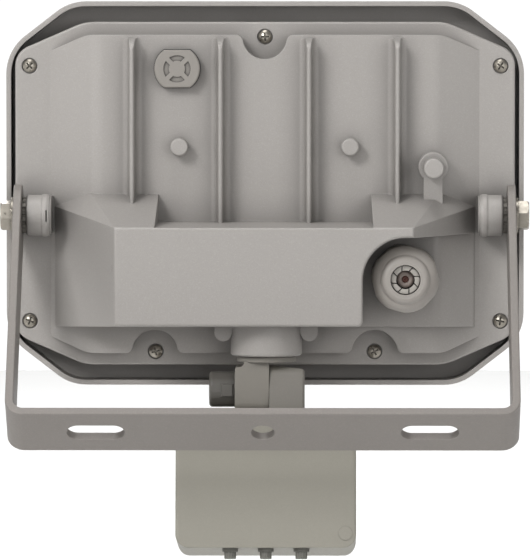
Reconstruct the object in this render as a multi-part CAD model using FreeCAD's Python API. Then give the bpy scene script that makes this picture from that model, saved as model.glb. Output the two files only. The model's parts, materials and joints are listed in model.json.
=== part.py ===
import FreeCAD, Part
import math
import os

# Outdoor LED floodlight with a passive-infrared motion sensor hanging under it, on a bent U bracket.
# Millimetres. The lamp stands upright: +Z is up, the light shines towards -Y and the bracket is
# behind it, towards +Y. Shapes are drawn about the middle of the rear casting's flange, whose rear
# face is y = 0, and are moved at the end so that the origin is the centre of the bracket's middle
# hole on the face that meets the wall.

Vector = FreeCAD.Vector
X_AXIS = Vector(1, 0, 0)
Y_AXIS = Vector(0, 1, 0)
Z_AXIS = Vector(0, 0, 1)

# Front frame: a shallow cast tray with a window
frame_half_w = 96.0
frame_half_h = 71.2
frame_cut_w = 23.6
frame_cut_h = 18.2
frame_corner_r = 17.8
frame_wall = 1.8
frame_front_y = -16.0
frame_rear_y = -2.0
lip_t = 2.5
window_half_w = 77.0
window_half_h = 48.0
window_corner_r = 8.0
frame_edge_r = 2.0
frame_post_r = 3.9

# Glass and its gasket
glass_half_w = 80.5
glass_half_h = 51.5
glass_corner_r = 6.0
glass_rear_y = -10.2
glass_t = 2.9
gasket_reach = 1.7
gasket_lip = 2.3

# LED board, the sheet behind it and the reflector in front
led_rear_y = 2.9
led_front_y = 1.3
led_board_half_w = 61.5
led_board_half_h = 49.6
plate_half_w = 65.5
plate_half_h = 50.0
plate_screws = [(58, 46.2), (-58, 46.2), (58, -47.2), (-58, -47.2), (14, 46.2), (0, -47.2)]
lead_hole = (20.0, -20.0)
lead_hole_r = 3.5
led_columns = 10
led_rows = 7
led_pitch_x = 10.0
led_pitch_z = 12.0
led_w = 3.5
led_h = 2.8
led_t = 0.8
reflector_front = (79.2, 50.2)
reflector_rear = (53.0, 42.0)
reflector_wall = 0.8

# Rear casting: flange, raised body with sloping sides, and the wall that grips the glass
flange_half_w = 92.6
flange_half_h = 63.6
flange_cut_w = 25.7
flange_cut_h = 11.2
flange_top_r = 17.0
flange_side_r = 7.8
flange_t = 4.0
step_inset = 4.8
panel_y = 8.0
slope_start = 62.4
slope_foot = 79.4
slope_round_r = 12.0
seat_y = -9.5
seat_half_w = 82.5
seat_half_h = 53.5
casting_t = 3.5

# Screws that hold the front frame to the casting
screw_places = [
    (87.25, 47.3),
    (-87.25, 47.3),
    (87.25, -47.3),
    (-87.25, -47.3),
    (0.0, 58.1),
    (40.6, -58.6),
    (-40.6, -58.6),
]
screw_notches = [(0.0, 58.1, 8.2), (40.6, -58.6, 8.5), (-40.6, -58.6, 8.5)]
notch_fillet = 2.5
notch_wall = 2.0
m3_r = 1.5
m3_clear_r = 1.7
m3_head_r = 2.5
m3_head_h = 1.9
counterbore_r = 2.9
counterbore_depth = 0.7

# Cooling ribs and plain casting bosses on the panel
rib_xs = (-48.9, -16.3, 16.3, 48.9)
rib_crest_y = 17.2
rib_crest_t = 1.7
rib_foot_t = 2.5
rib_top_z = 58.0
rib_slope_len = 2.6
rib_foot_fillet = 2.4
rib_nose_r = 3.0
rib_end_r = 2.6
pin_x = 31.5
pin_z = 17.6
pin_r = 3.3
pin_top_y = 14.0
pin_edge_r = 0.7
stepped_x = -62.1
stepped_z = 10.2
stepped_ring_r = 5.6
stepped_ring_y = 13.0
stepped_pin_r = 3.7
stepped_pin_y = 28.0
stepped_neck_w = 7.0

# Driver box
box_rear_y = 40.0
box_half_w = 78.3
box_rear_half_w = 54.4
hip_x = 64.3
hip_foot_z = -4.6
box_bottom_z = -47.1
box_bottom_foot_z = -49.4
shoulder_foot_z = 0.1
shoulder_top_z = -11.05
middle_foot_z = -9.9
middle_half_w = 39.8
middle_draft = 0.6
box_wall = 3.0
box_edge_r = 1.0
pocket_half_w = 69.5
pocket_rear_w = 52.0
pocket_ramp_w = 63.4
pocket_top_z = -14.2

# Driver circuit board inside the box
board_x = (-30.0, 56.0)
board_z = (-38.0, -14.6)
board_y = 9.0
board_t = 1.6
driver_posts = [(53.0, -26.0), (-20.0, -17.5)]
driver_post_r = 3.0
terminal_x = -25.5
terminal_pitch = 5.0
terminal_low_z = -35.0

# Cable gland recess and gland
gland_x = -51.7
gland_z = -30.4
recess_r = 15.7
recess_floor_y = 12.0
recess_corner_r = 2.0
ramp_start = -64.0
ramp_foot = -79.5
ramp_round_r = 6.0
ramp_foot_r = 6.0
gland_thread_r = 7.9
gland_flange_af = 22.0
gland_nut_af = 24.0
gland_nut_corner_r = 12.4
gland_face_r = 9.0
gland_face_drop = 2.2
gland_ledge_w = 0.3
gland_shoulder_bulge = (1.0, 2.9)
gland_face_bulge = (0.9, 0.5)
gland_mouth_rim = 0.6
gland_mouth_r = 5.5
gland_collar_r = 9.3
cable_r = 3.2
gland_washer_r = 11.4
gland_washer_t = 1.2
gland_flange_t = 4.0
gland_nut_h = 15.5
gland_shoulder_h = 8.6
gland_turn_deg = 45.0
claw_gap = 0.35
claw_slant = 1.1
gland_flange_y = recess_floor_y + gland_washer_t
gland_nut_y = gland_flange_y + gland_flange_t + 0.4

# Pivot bosses and M6 bolts. The axis runs along X.
pivot_y = 11.5
pivot_z = -7.6
boss_r = 7.55
boss_edge_r = 0.9
boss_root_x = 78.7
boss_end_x = 87.9
collar_r = 7.85
collar_x = (79.4, 82.7)
collar_edge_r = 1.2
lug_r = 6.9
slit_x = 80.3
slit_w = 0.5
slit_h = 4.3
lock_washer_r = 6.8
lock_washer_teeth = 16
m6_r = 3.0
m6_af = 10.0
m6_head_h = 4.0
washer_t = 1.0
washer_r = 6.6
bolt_tip_x = 80.2

# Bracket: one strip bent into a U
bracket_half_w = 92.4
bracket_t = 3.0
bracket_w = 22.6
bracket_reach = 98.5
bracket_bend_r = 6.5
bracket_droop_deg = 50.0
centre_hole_r = 4.25
slot_offset = 60.0
slot_length = 21.0
slot_w = 8.5
pivot_hole_r = 3.2

# Neck under the driver box and the swivel stem that turns in it
neck_x = -0.7
neck_y = 20.0
neck_r = 13.1
neck_bottom_z = -58.7
stem_r = 8.0
stem_bore_r = 8.05
stem_wire_r = 3.5
stem_lip_r = 10.9
stem_lip_t = 1.8
stem_top_z = -39.2
pocket_bottom_z = -44.5
ear_offset = 15.8
ear_r = 3.2
ear_half_t = 4.0
ear_z = -50.2
o_ring_z = -53.1
o_ring_t = 1.9
stem_nut_r = 10.4

# Half-lap hinge between the stem and the sensor head, as offsets from the neck's axis
hinge_z = -71.3
cheek_half = 8.4
cheek_round_r = 4.0
shoulder_tip_r = 1.4
shoulder_root_r = 1.6
shoulder_step = 3.3
shoulder_drop = 1.85
stem_cheek = (-1.1, 11.5)
ear_cheek = (-14.1, -1.2)
ear_slope = 2.0
face_gap = 0.1
hinge_bolt_r = 2.5
hinge_hole_r = 2.55
knob_end = 21.0
knob_r = 6.6

# Sensor head, drawn about the hinge axis before it is tipped forwards
head_tip_deg = 10.3
head_half_w = 33.0
head_rear_y = 14.0
head_top_z = -10.6
head_bottom_z = -59.6
head_split_y = -9.0
head_front_y = -28.0
head_wall = 2.0
head_corner_r = 5.0
mark_r = 2.5
mark_x = -29.1
mark_z = -54.4
lens_axis_y = -2.0
lens_r = 34.0
lens_t = 0.9
lens_half_w = 25.5
lens_z = (-53.5, -24.5)
lens_border = 1.6
dial_pitch = 13.0
dial_y = 9.0
dial_r = 2.9
dial_drop = 3.7
dial_tip_r = 2.2
dial_tip_len = 2.5
dial_shaft_r = 1.4
sensor_board_y = 3.0
sensor_board_t = 1.6
sensor_post_x = 23.0
sensor_post_z = -20.0
pir_z = -39.0

# Vent plug
vent_x = 32.3
vent_z = 46.4
vent_cap_r = 8.45
vent_flat = 6.95
vent_stem_r = 5.2
vent_throat_r = 4.2
vent_rim = 0.22
vent_cap_t = 3.2
vent_slot_depth = 0.7
vent_bridge_half_w = 0.85
vent_seal_t = 1.4
vent_slot_r = 5.0
vent_slot_inner_r = 3.0

SMALL = 0.05
GAP = 0.3


def plane_point(plane, a, b):
    """A point of the plane xz, xy or yz through the origin."""
    if plane == "xz":
        return Vector(a, 0, b)
    if plane == "xy":
        return Vector(a, b, 0)
    return Vector(0, a, b)


def rounded_wire(points, radii, plane):
    """A closed outline with an arc of the given radius at each corner, or a sharp corner for 0."""
    count = len(points)
    stops = []
    for i in range(count):
        corner = plane_point(plane, *points[i])
        back = (plane_point(plane, *points[i - 1]) - corner).normalize()
        ahead = (plane_point(plane, *points[(i + 1) % count]) - corner).normalize()
        if not radii[i]:
            stops.append((corner, None, corner))
            continue
        half_angle = back.getAngle(ahead) / 2
        reach = radii[i] / math.tan(half_angle)
        inward = (back + ahead).normalize()
        mid = corner + inward * (radii[i] / math.sin(half_angle) - radii[i])
        stops.append((corner + back * reach, mid, corner + ahead * reach))
    edges = []
    for i in range(count):
        start, mid, end = stops[i]
        if mid:
            edges.append(Part.Arc(start, mid, end).toShape())
        following = stops[(i + 1) % count][0]
        if (following - end).Length > 1e-6:
            edges.append(Part.LineSegment(end, following).toShape())
    return Part.Wire(edges)


def prism(points, plane, low, high, radii=None):
    """An outline pushed along the axis that its plane lacks, from low to high."""
    wire = rounded_wire(points, radii or [0] * len(points), plane)
    axis = {"xz": Y_AXIS, "xy": Z_AXIS, "yz": X_AXIS}[plane]
    face = Part.Face(wire)
    face.translate(axis * low)
    return face.extrude(axis * (high - low))


def box(x0, x1, y0, y1, z0, z1):
    return Part.makeBox(x1 - x0, y1 - y0, z1 - z0, Vector(x0, y0, z0))


def rod(r, start, axis, length):
    return Part.makeCylinder(r, length, start, axis)


def ring(outer_r, inner_r, start, axis, length):
    return rod(outer_r, start, axis, length).cut(rod(inner_r, start - axis, axis, length + 2))


def placed(shape, axis, at, turn_deg=0.0):
    """Moves a shape drawn along +Z so that it stands at a point and points along an axis."""
    spin = FreeCAD.Rotation(Z_AXIS, turn_deg)
    aim = FreeCAD.Rotation(Z_AXIS, axis)
    moved = shape.copy()
    moved.Placement = FreeCAD.Placement(at, aim.multiply(spin))
    return moved


def polygon_rod(sides, across_flats, length):
    """A regular prism standing on z = 0."""
    r = across_flats / 2 / math.cos(math.pi / sides)
    step = 2 * math.pi / sides
    corners = [(r * math.cos(i * step), r * math.sin(i * step)) for i in range(sides)]
    return prism(corners, "xy", 0, length)


def octagon(half_w, half_h, cut_w, cut_h):
    """A rectangle with its corners cut, from the right side round through the top."""
    quarter = [(half_w, half_h - cut_h), (half_w - cut_w, half_h)]
    left = [(-x, z) for x, z in reversed(quarter)]
    top = quarter + left
    return top + [(-x, -z) for x, z in top]


def rectangle(half_w, half_h):
    return [(half_w, half_h), (-half_w, half_h), (-half_w, -half_h), (half_w, -half_h)]


def edges_where(shape, test):
    """The straight or curved edges whose every corner passes the test."""
    return [e for e in shape.Edges if e.Vertexes and all(test(v.Point) for v in e.Vertexes)]


def joined(shapes):
    whole = shapes[0]
    for shape in shapes[1:]:
        whole = whole.fuse(shape)
    return whole.removeSplitter()


# ---------------------------------------------------------------- front of the lamp


def frame_outline(inset):
    """The frame's outline moved inwards, with its cut corners kept parallel."""
    slant = math.hypot(frame_cut_w, frame_cut_h)
    trim_w = inset * (frame_cut_h + frame_cut_w - slant) / frame_cut_h
    trim_h = inset * (frame_cut_h + frame_cut_w - slant) / frame_cut_w
    corners = octagon(
        frame_half_w - inset, frame_half_h - inset, frame_cut_w - trim_w, frame_cut_h - trim_h
    )
    return corners, [frame_corner_r - inset] * 8


def front_frame():
    corners, radii = frame_outline(0)
    tray = prism(corners, "xz", frame_front_y, frame_rear_y, radii)
    rim = edges_where(tray, lambda p: p.y < frame_front_y + 0.1)
    tray = tray.makeFillet(frame_edge_r, rim)
    inner, inner_radii = frame_outline(frame_wall)
    tray = tray.cut(prism(inner, "xz", frame_front_y + lip_t, 0, inner_radii))
    window = rectangle(window_half_w, window_half_h)
    tray = tray.cut(prism(window, "xz", frame_front_y - 1, 0, [window_corner_r] * 4))
    posts = []
    post_y = frame_front_y + lip_t - 0.5
    for x, z in screw_places:
        start = Vector(x, post_y, z)
        posts.append(rod(frame_post_r, start, Y_AXIS, -flange_t - SMALL - post_y))
    tray = joined([tray] + posts)
    for x, z in screw_places:
        tray = tray.cut(rod(m3_r, Vector(x, frame_front_y + 1.5, z), Y_AXIS, 20))
    return tray


def front_glass():
    outline = rectangle(glass_half_w, glass_half_h)
    return prism(outline, "xz", glass_rear_y - glass_t, glass_rear_y, [glass_corner_r] * 4)


def glass_gasket():
    """A silicone channel round the glass, squeezed between the frame's lip and the casting."""
    lip_y = frame_front_y + lip_t
    outside = rectangle(glass_half_w + gasket_reach, glass_half_h + gasket_reach)
    outer = prism(outside, "xz", lip_y, seat_y, [glass_corner_r + gasket_reach] * 4)
    inside = rectangle(glass_half_w - gasket_lip, glass_half_h - gasket_lip)
    opening = prism(inside, "xz", lip_y - 1, 0, [glass_corner_r - 1] * 4)
    return outer.cut(opening).cut(front_glass())


def reflector():
    """A thin aluminium tray whose sides slope from the window back to the LED board."""

    def section(half_w, half_h, y, r):
        wire = rounded_wire(rectangle(half_w, half_h), [r] * 4, "xz")
        wire.translate(Vector(0, y, 0))
        return wire

    front_y = seat_y + 0.2
    rear_y = led_front_y - 0.1
    wall = reflector_wall
    front_w, front_h = reflector_front
    rear_w, rear_h = reflector_rear
    outer = [section(front_w, front_h, front_y, 6), section(rear_w, rear_h, rear_y, 3)]
    inner = [
        section(front_w - 2 * wall, front_h - wall, front_y - 0.01, 6 - wall),
        section(rear_w - 2 * wall, rear_h - wall, rear_y + 0.01, 3 - wall),
    ]
    return Part.makeLoft(outer, True, True).cut(Part.makeLoft(inner, True, True))


# ---------------------------------------------------------------- LED side of the casting


def with_plate_holes(shape, r):
    for x, z in plate_screws:
        shape = shape.cut(rod(r, Vector(x, -2, z), Y_AXIS, 20))
    x, z = lead_hole
    shape = shape.cut(rod(lead_hole_r, Vector(x, -2, z), Y_AXIS, 20))
    return shape.cut(notch_walls(notch_wall + GAP))


def mounting_plate():
    """The aluminium sheet that carries the LED board and closes the driver's pocket."""
    outline = rectangle(plate_half_w, plate_half_h)
    sheet = prism(outline, "xz", led_rear_y + 0.1, panel_y - casting_t, [3] * 4)
    return with_plate_holes(sheet, m3_clear_r)


def led_board():
    outline = rectangle(led_board_half_w, led_board_half_h)
    sheet = prism(outline, "xz", led_front_y, led_rear_y, [2] * 4)
    return with_plate_holes(sheet, m3_clear_r)


def led_chips():
    """A grid of white LEDs, with the places beside the lead hole left empty."""
    chips = []
    low_y = led_front_y - led_t
    for i in range(led_columns):
        for j in range(led_rows):
            x = (i - (led_columns - 1) / 2) * led_pitch_x
            z = (j - (led_rows - 1) / 2) * led_pitch_z
            if math.hypot(x - lead_hole[0], z - lead_hole[1]) < 2 * lead_hole_r:
                continue
            chip = Part.makeBox(led_w, led_t, led_h, Vector(x - led_w / 2, low_y, z - led_h / 2))
            chips.append(chip)
    return Part.makeCompound(chips)


def phillips_screw(shank_r, head_r, head_h, length):
    """A pan-head screw along -Z from its head's underside at z = 0, with a cross recess."""
    dome_r = (head_r**2 + head_h**2) / (2 * head_h) + 0.6
    head = rod(head_r, Vector(0, 0, 0), Z_AXIS, head_h)
    dome = Part.makeSphere(dome_r, Vector(0, 0, head_h - dome_r))
    head = head.common(dome)
    shank = rod(shank_r, Vector(0, 0, -length), Z_AXIS, length + 0.5)
    screw = head.fuse(shank).removeSplitter()
    for turn in (45, 135):
        blade = box(-head_r * 0.62, head_r * 0.62, -0.3, 0.3, head_h - 1.1, head_h + 1)
        screw = screw.cut(placed(blade, Z_AXIS, Vector(0, 0, 0), turn))
    return screw


def plate_screw_set():
    """The six screws that hold the LED board and its plate to the casting."""
    screw = phillips_screw(m3_r - SMALL, 2.6, 1.6, 5.6)
    down = Vector(0, -1, 0)
    return Part.makeCompound(
        [placed(screw, down, Vector(x, led_front_y, z)) for x, z in plate_screws]
    )


def frame_screw_set():
    """The seven screws seen on the back, through the flange into the frame's posts."""
    screw = phillips_screw(m3_r - SMALL, m3_head_r, m3_head_h, 11.0)
    return Part.makeCompound(
        [
            placed(screw, Y_AXIS, Vector(x, -counterbore_depth, z), 12 * i)
            for i, (x, z) in enumerate(screw_places)
        ]
    )


# ---------------------------------------------------------------- rear casting


def notch(x, z, r):
    """The scoop in the raised body round a screw, with its mouth rounded into the step."""
    side = math.copysign(1, z)
    edge_z = side * (flange_half_h - step_inset)
    centre = Vector(x, 0, z)
    depth = edge_z - side * notch_fillet
    spread = math.sqrt((r + notch_fillet) ** 2 - (z - depth) ** 2)
    outside = side * (abs(edge_z) + 12)

    def mouth(sign):
        """The rounding's start on the step, its middle, and its end on the scoop."""
        hub = Vector(x + sign * spread, 0, depth)
        top = Vector(hub.x, 0, edge_z)
        foot = centre + (hub - centre).normalize() * r
        bulge = ((top - hub) + (foot - hub)).normalize() * notch_fillet
        return top, hub + bulge, foot

    left = mouth(-1)
    right = mouth(1)
    floor = Vector(x, 0, z - side * r)
    corner_left = Vector(left[0].x, 0, outside)
    corner_right = Vector(right[0].x, 0, outside)
    edges = [
        Part.Arc(*left).toShape(),
        Part.Arc(left[2], floor, right[2]).toShape(),
        Part.Arc(right[2], right[1], right[0]).toShape(),
        Part.LineSegment(right[0], corner_right).toShape(),
        Part.LineSegment(corner_right, corner_left).toShape(),
        Part.LineSegment(corner_left, left[0]).toShape(),
    ]
    return Part.Face(Part.Wire(edges)).extrude(Vector(0, panel_y + 5, 0))


def raised_body():
    """The panel behind the LEDs: level in the middle, sloping to the flange at each side."""
    roof = [(slope_start, panel_y), (slope_foot, 0), (slope_foot, -1)]
    roof += [(-x, y) for x, y in reversed(roof)]
    roof_radii = [slope_round_r, 0, 0, 0, 0, slope_round_r]
    slant = math.hypot(flange_cut_w, flange_cut_h)
    half_h = flange_half_h - step_inset
    trim = step_inset * (slant - flange_cut_w) / flange_cut_h
    knee = flange_half_w - flange_cut_w - trim
    wide = 85.0
    drop = (wide - knee) * flange_cut_h / flange_cut_w
    outline = octagon(wide, half_h, wide - knee, drop)
    radii = [0, 12, 12, 0, 0, 12, 12, 0]
    body = prism(roof, "xy", -60, 60, roof_radii).common(prism(outline, "xz", -1, 12, radii))
    for place in screw_notches:
        body = body.cut(notch(*place))
    return body


def rib_section(x):
    """A fin's outline across its length: a rounded crest, drafted sides and soft feet."""
    half_crest = rib_crest_t / 2
    half_foot = rib_foot_t / 2
    reach = half_foot + rib_foot_fillet
    low_y = panel_y - 1
    right = [
        Vector(x + reach, panel_y, 0),
        Vector(x + half_foot + 0.3 * rib_foot_fillet, panel_y + 0.3 * rib_foot_fillet, 0),
        Vector(x + half_foot, panel_y + rib_foot_fillet, 0),
        Vector(x + half_crest, rib_crest_y - half_crest, 0),
    ]
    left = [Vector(2 * x - v.x, v.y, 0) for v in right]
    crest = Vector(x, rib_crest_y, 0)
    foot_right = Vector(x + reach, low_y, 0)
    foot_left = Vector(x - reach, low_y, 0)
    edges = [
        Part.LineSegment(foot_left, foot_right).toShape(),
        Part.LineSegment(foot_right, right[0]).toShape(),
        Part.Arc(right[0], right[1], right[2]).toShape(),
        Part.LineSegment(right[2], right[3]).toShape(),
        Part.Arc(right[3], crest, left[3]).toShape(),
        Part.LineSegment(left[3], left[2]).toShape(),
        Part.Arc(left[2], left[1], left[0]).toShape(),
        Part.LineSegment(left[0], foot_left).toShape(),
    ]
    return Part.Wire(edges)


def ribs():
    """Four tapered fins from the top of the panel down to the driver box."""
    fins = []
    for x in rib_xs:
        foot_z = shoulder_foot_z - 6 if abs(x) > middle_half_w else middle_foot_z - 3
        section = rib_section(x)
        fin = Part.Face(section).extrude(Z_AXIS * (rib_top_z - foot_z))
        fin.translate(Z_AXIS * foot_z)
        end = [
            (panel_y - 2, foot_z - 1),
            (rib_crest_y + 1, foot_z - 1),
            (rib_crest_y, rib_top_z - rib_slope_len),
            (panel_y, rib_top_z),
            (panel_y - 2, rib_top_z),
        ]
        side = prism(end, "yz", x - 9, x + 9, [0, 0, rib_nose_r, 0, 0])
        reach = rib_foot_t / 2 + rib_foot_fillet
        face = [
            (x - reach, foot_z - 1),
            (x + reach, foot_z - 1),
            (x + reach, rib_top_z),
            (x - reach, rib_top_z),
        ]
        rounded = prism(face, "xz", panel_y - 2, rib_crest_y + 1, [0, 0, rib_end_r, rib_end_r])
        fins.append(fin.common(side).common(rounded))
    return fins


def gland_recess():
    """The clear space for the cable gland: open to the side and below, round above."""
    top = rod(recess_r, Vector(gland_x, recess_floor_y, gland_z), Y_AXIS, 40)
    side = box(-90, gland_x, recess_floor_y, 60, -60, gland_z + recess_r)
    below = box(-90, gland_x + recess_r, recess_floor_y, 60, -60, gland_z)
    ramp = [
        (gland_x, recess_floor_y),
        (ramp_start, recess_floor_y),
        (ramp_foot, 0),
        (-90, 0),
        (-90, 60),
        (gland_x, 60),
    ]
    slope = prism(ramp, "xy", -60, gland_z + recess_r, [0, ramp_round_r, ramp_foot_r, 0, 0, 0])
    return top.fuse([side, below, slope])


def hip(side):
    """The corner taken off the end of a shoulder, where it drops to the foot of the slanted end."""
    foot = Vector(side * box_half_w, 0, hip_foot_z)
    crest = Vector(side * box_rear_half_w, box_rear_y, shoulder_top_z)
    inner = Vector(side * hip_x, panel_y, shoulder_foot_z)
    out = (foot - crest).normalize() * 60
    across = (inner - crest).normalize() * 120
    corners = [crest - out, foot + out, foot + out + across, crest - out + across]
    slab = Part.Face(Part.makePolygon(corners + corners[:1]))
    normal = out.cross(across).normalize() * side
    if normal.z < 0:
        normal = normal * -1
    return slab.extrude(normal * 40)


def driver_box():
    """The deep box across the casting: slanted ends, sloping shoulders and a level middle."""
    plan = [(box_half_w, 0), (box_rear_half_w, box_rear_y)]
    plan += [(-x, y) for x, y in reversed(plan)]
    slope = (shoulder_top_z - shoulder_foot_z) / (box_rear_y - panel_y)
    side = [
        (0, box_bottom_foot_z),
        (box_rear_y, box_bottom_z),
        (box_rear_y, shoulder_top_z),
        (0, shoulder_foot_z - slope * panel_y),
    ]
    body = prism(plan, "xy", -60, 20).common(prism(side, "yz", -90, 90))
    body = body.cut([hip(1), hip(-1), gland_recess()])
    inner_x = gland_x + recess_r
    corner = edges_where(body, lambda p: abs(p.x - inner_x) < 0.01 and p.z < box_bottom_z + 0.1)
    body = body.makeFillet(recess_corner_r, corner)
    rear_edges = edges_where(body, lambda p: p.y > box_rear_y - 0.01)
    body = body.makeFillet(box_edge_r, rear_edges)
    narrow = middle_half_w - middle_draft
    wide = middle_half_w + middle_draft
    trough = [(-narrow, panel_y - 1), (narrow, panel_y - 1), (wide, 60), (-wide, 60)]
    middle_slope = (shoulder_top_z - middle_foot_z) / (box_rear_y - panel_y)
    above = [
        (panel_y - 1, middle_foot_z - middle_slope),
        (60, shoulder_top_z + middle_slope * 20),
        (60, 30),
        (panel_y - 1, 30),
    ]
    return body.cut(prism(trough, "xy", -60, 30).common(prism(above, "yz", -90, 90)))


def pivot_boss(side):
    """A round boss on its lug, with a rounded collar, for one M6 bolt."""
    outward = X_AXIS * side
    axis_point = Vector(0, pivot_y, pivot_z)
    root = axis_point + outward * boss_root_x
    lug = rod(lug_r, root, outward, collar_x[1] - boss_root_x)
    boss = rod(boss_r, axis_point + outward * collar_x[0], outward, boss_end_x - collar_x[0])
    end = edges_where(boss, lambda p: abs(p.x) > boss_end_x - 0.1)
    boss = boss.makeFillet(boss_edge_r, end)
    collar = rod(collar_r, axis_point + outward * collar_x[0], outward, collar_x[1] - collar_x[0])
    collar = collar.makeFillet(collar_edge_r, [e for e in collar.Edges if e.Length > 30])
    low_x = min(side * boss_root_x, side * collar_x[1])
    lug_w = collar_x[1] - boss_root_x
    foot = box(low_x, low_x + lug_w, -1, pivot_y, pivot_z - lug_r, pivot_z + lug_r)
    body = joined([lug, boss, collar, foot])
    if side < 0:
        return body
    slit_low = slit_x - slit_w / 2
    slit = box(slit_low, slit_low + slit_w, pivot_y + 5, 40, pivot_z - slit_h / 2, pivot_z + slit_h / 2)
    return body.cut(slit)


def neck():
    """The upright boss below the driver box that the swivel stem turns in, with its two ears."""
    top_z = box_bottom_z + 2
    boss = rod(neck_r, Vector(neck_x, neck_y, neck_bottom_z), Z_AXIS, top_z - neck_bottom_z)
    rim = edges_where(boss, lambda p: p.z < neck_bottom_z + 0.1)
    boss = boss.makeChamfer(0.6, [e for e in rim if e.Length > 20])
    parts = [boss]
    for side in (-1, 1):
        ear_x = neck_x + side * ear_offset
        start = Vector(ear_x, neck_y - ear_half_t, ear_z)
        parts.append(rod(ear_r, start, Y_AXIS, 2 * ear_half_t))
        root_x = ear_x - side * 4
        tip_x = ear_x + side * ear_r
        low, high = sorted((root_x, tip_x))
        parts.append(box(low, high, neck_y - ear_half_t, neck_y + ear_half_t, ear_z, top_z))
    return parts


def notch_walls(wall):
    """Round columns about the frame screws' notches, each larger than its notch by the wall."""
    return [rod(r + wall, Vector(x, -0.9, z), Y_AXIS, panel_y) for x, z, r in screw_notches]


def casting_cavity():
    """Everything hollow inside the casting, from the glass back to the driver pocket."""
    rear = panel_y - casting_t
    hollow = [
        prism(rectangle(79.5, 50.5), "xz", seat_y - 1, -1.0, [5] * 4),
        prism(rectangle(66, 50.5), "xz", -2, rear, [3] * 4).cut(notch_walls(notch_wall)),
    ]
    inner_rear = box_rear_y - casting_t
    recess_x = gland_x + recess_r + box_wall
    plan = [
        (pocket_half_w, rear - 1),
        (pocket_rear_w, inner_rear),
        (recess_x, inner_rear),
        (recess_x, recess_floor_y - box_wall),
        (-pocket_ramp_w, recess_floor_y - box_wall),
        (-pocket_half_w, rear - 1),
    ]
    hollow.append(prism(plan, "xy", pocket_bottom_z, pocket_top_z))
    return hollow[0].fuse(hollow[1:])


def soft_pin(r, x, z, top_y):
    """A round cast pin with a softened end."""
    start_y = 3
    pin = rod(r, Vector(x, start_y, z), Y_AXIS, top_y - start_y)
    return pin.makeFillet(pin_edge_r, edges_where(pin, lambda p: p.y > top_y - 0.1))


def rear_housing():
    flange = prism(
        octagon(flange_half_w, flange_half_h, flange_cut_w, flange_cut_h),
        "xz",
        -flange_t,
        0,
        [flange_side_r, flange_top_r, flange_top_r, flange_side_r] * 2,
    )
    flange = flange.makeFillet(0.8, edges_where(flange, lambda p: p.y > -0.1))
    seat = prism(rectangle(seat_half_w, seat_half_h), "xz", seat_y, -1, [8] * 4)
    parts = [flange, seat, raised_body(), driver_box()] + ribs()
    parts += [pivot_boss(1), pivot_boss(-1)] + neck()
    for side in (-1, 1):
        parts.append(soft_pin(pin_r, side * pin_x, pin_z, pin_top_y))
    parts.append(soft_pin(stepped_ring_r, stepped_x, stepped_z, stepped_ring_y))
    parts.append(soft_pin(stepped_pin_r, stepped_x, stepped_z, stepped_pin_y))
    half_neck = stepped_neck_w / 2
    parts.append(
        box(stepped_x - half_neck, stepped_x + half_neck, 3, stepped_ring_y, -5, stepped_z)
    )
    body = joined(parts).cut(casting_cavity())
    posts = []
    for x, z in driver_posts:
        start = Vector(x, board_y + board_t, z)
        posts.append(rod(driver_post_r, start, Y_AXIS, box_rear_y - 2 - start.y))
    body = joined([body] + posts)
    holes = []
    for x, z in screw_places:
        holes.append(rod(m3_clear_r, Vector(x, -6, z), Y_AXIS, 10))
        holes.append(rod(counterbore_r, Vector(x, -counterbore_depth, z), Y_AXIS, 10))
    holes += [rod(m3_r, Vector(x, 4, z), Y_AXIS, 3.2) for x, z in plate_screws]
    holes += [rod(m3_r, Vector(x, 9, z), Y_AXIS, 9) for x, z in driver_posts]
    holes.append(rod(vent_stem_r + SMALL, Vector(vent_x, 0, vent_z), Y_AXIS, 12))
    gland = Vector(gland_x, recess_floor_y - box_wall - 1, gland_z)
    holes.append(rod(gland_thread_r + SMALL, gland, Y_AXIS, 10))
    holes.append(rod(stem_bore_r, Vector(neck_x, neck_y, -60), Z_AXIS, 20))
    for side in (-1, 1):
        tip = Vector(side * (bolt_tip_x - 0.4), pivot_y, pivot_z)
        holes.append(rod(m6_r + SMALL, tip, X_AXIS * side, 20))
    return body.cut(holes)


# ---------------------------------------------------------------- vent plug


def vent_cap():
    """A breather plug: a flat-sided cap with four curved recesses, on a threaded stem."""
    start_y = panel_y + vent_seal_t
    cap = rod(vent_cap_r, Vector(vent_x, start_y, vent_z), Y_AXIS, vent_cap_t)
    flats = box(vent_x - 20, vent_x + 20, 0, 20, vent_z - vent_flat, vent_z + vent_flat)
    cap = cap.common(flats)
    cap = cap.makeFillet(0.6, edges_where(cap, lambda p: p.y > start_y + vent_cap_t - 0.1))
    foot_y = panel_y - casting_t + 0.3
    stem = rod(vent_stem_r, Vector(vent_x, foot_y, vent_z), Y_AXIS, start_y - foot_y + 0.5)
    cap = joined([cap, stem])
    slot_start = Vector(vent_x, start_y + vent_cap_t - vent_slot_depth, vent_z)
    groove = ring(vent_slot_r, vent_slot_inner_r, slot_start, Y_AXIS, 4)
    for turn in (45, 135):
        bridge = box(-7, 7, -vent_bridge_half_w, vent_bridge_half_w, -1, 8)
        groove = groove.cut(placed(bridge, Y_AXIS, Vector(vent_x, start_y, vent_z), turn))
    cap = cap.cut(groove)
    throat = rod(vent_throat_r, Vector(vent_x, foot_y - 1, vent_z), Y_AXIS, start_y + 1.0 - foot_y + 1)
    return cap.cut(throat)


def vent_membrane():
    """The breathable disc that keeps water out, under the cap's slots."""
    return rod(vent_throat_r - 0.1, Vector(vent_x, panel_y + 1.9, vent_z), Y_AXIS, 0.4)


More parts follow.
